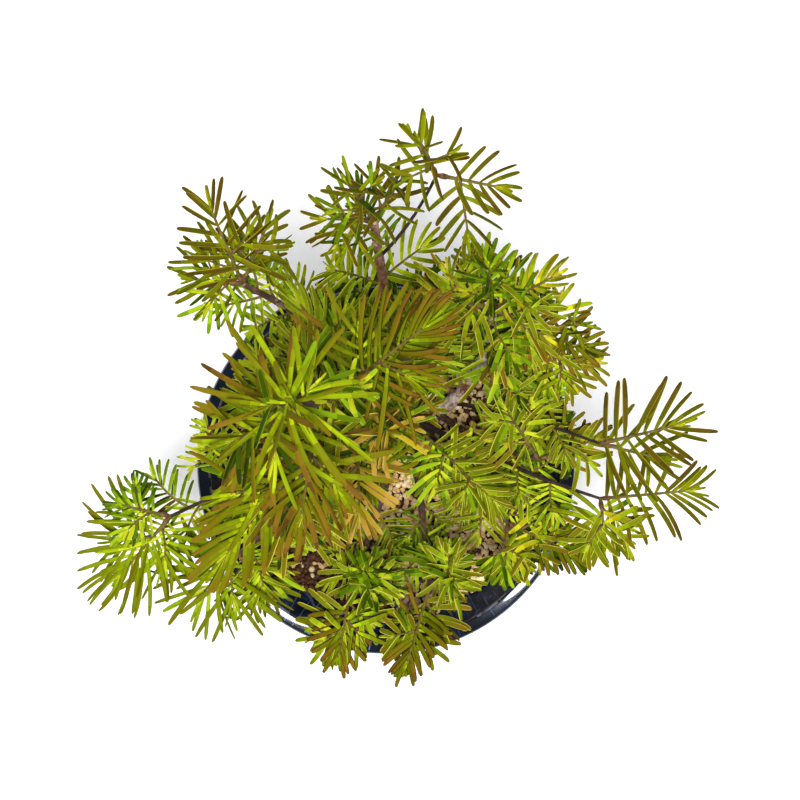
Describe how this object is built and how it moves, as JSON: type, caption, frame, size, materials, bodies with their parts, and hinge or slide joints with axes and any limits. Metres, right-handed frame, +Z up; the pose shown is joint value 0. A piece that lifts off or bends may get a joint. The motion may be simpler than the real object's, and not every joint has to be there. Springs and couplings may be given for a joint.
{
  "type": "potted dawn redwood",
  "caption": "Young dawn redwood grown as a clump in a round glazed bowl: slender stems, spreading boughs and open tufts of soft flat needles over a bed of baked-clay grains.",
  "frame": {"origin": "middle of the bowl's flat underside", "axes": "+Z up along the bowl's axis, +Y towards the side where the tallest outer stems stand, +X to the right seen from -Y"},
  "size_m": [0.2353, 0.1977, 0.2986],
  "materials": {
    "glaze": "gloss",
    "soil": "matte",
    "bark": "matte",
    "foliage": "matte"
  },
  "bodies": {
    "root": {"pot": "glaze", "soil": "soil", "trunk": "bark", "bough_east": "bark", "bough_east_high": "bark", "bough_east_inner": "bark", "bough_north_west": "bark", "bough_south": "bark", "bough_south_east": "bark", "bough_south_near": "bark", "bough_south_west": "bark", "bough_top": "bark", "bough_west": "bark", "bough_west_inner": "bark", "bough_west_low": "bark", "foliage_apex": "foliage", "foliage_apex_east": "foliage", "foliage_apex_middle": "foliage", "foliage_apex_south": "foliage", "foliage_apex_south_east": "foliage", "foliage_apex_south_west": "foliage", "foliage_apex_west": "foliage", "foliage_east_high": "foliage", "foliage_east_inner": "foliage", "foliage_east_middle": "foliage", "foliage_east_near": "foliage", "foliage_east_tip": "foliage", "foliage_east_tip_low": "foliage", "foliage_far_east_north": "foliage", "foliage_far_east_south": "foliage", "foliage_far_east_tip": "foliage", "foliage_far_east_west": "foliage", "foliage_far_west_high": "foliage", "foliage_far_west_left": "foliage", "foliage_far_west_right": "foliage", "foliage_inner_east": "foliage", "foliage_inner_middle": "foliage", "foliage_inner_north": "foliage", "foliage_inner_south": "foliage", "foliage_inner_west": "foliage", "foliage_north_left": "foliage", "foliage_north_tuft": "foliage", "foliage_north_west_tuft": "foliage", "foliage_south_east_low": "foliage", "foliage_south_east_tip": "foliage", "foliage_south_east_tuft": "foliage", "foliage_south_middle": "foliage", "foliage_south_near": "foliage", "foliage_south_tip": "foliage", "foliage_south_west_inner": "foliage", "foliage_south_west_tip": "foliage", "foliage_top": "foliage", "foliage_top_right": "foliage", "foliage_west_inner": "foliage", "foliage_west_low": "foliage", "foliage_west_low_inner": "foliage", "foliage_west_tip": "foliage", "foliage_west_up": "foliage", "stem_east": "bark", "stem_north": "bark"}
  },
  "joints": []
}
